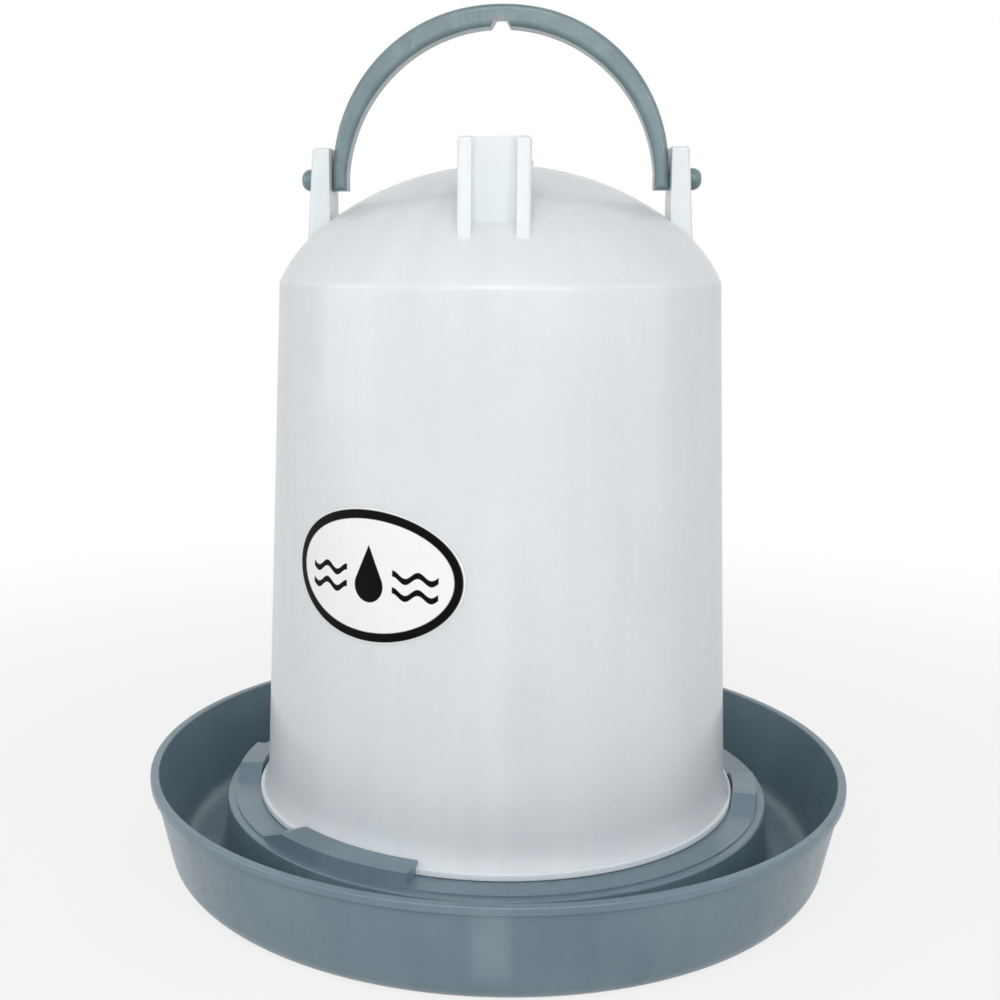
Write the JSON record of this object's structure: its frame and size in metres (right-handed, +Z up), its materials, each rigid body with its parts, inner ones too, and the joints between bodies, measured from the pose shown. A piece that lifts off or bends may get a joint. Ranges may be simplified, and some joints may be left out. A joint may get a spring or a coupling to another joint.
{
  "type": "poultry waterer fount",
  "caption": "Siphon drinker for poultry: a tapered reservoir stands open end down in a round drinking tray and hangs or is carried by a folding arched handle",
  "frame": {"origin": "middle of the tray's underside, on the floor", "axes": "+Z up along the fount's axis, -Y the front, +X the axis of the handle's pins"},
  "size_m": [0.2908, 0.2908, 0.3464],
  "materials": {
    "tray_plastic": "injection-moulded blue-grey polyethylene, satin",
    "fount_plastic": "natural milky polyethylene, satin",
    "handle_plastic": "injection-moulded grey polypropylene, satin",
    "label_film": "white printed film sticker"
  },
  "bodies": {
    "tray": {"tray": "tray_plastic"},
    "fount": {"fount": "fount_plastic", "label": "label_film"},
    "handle": {"handle": "handle_plastic"}
  },
  "joints": [
    {"name": "fount_turn", "type": "hinge", "parent": "tray", "child": "fount", "pos_m": [0, 0, 0.0279], "axis": [0, 0, 1], "continuous": true},
    {"name": "handle_swing", "type": "hinge", "parent": "fount", "child": "handle", "pos_m": [0, 0, 0.28], "axis": [1, 0, 0], "range_deg": [-89, 89]}
  ]
}
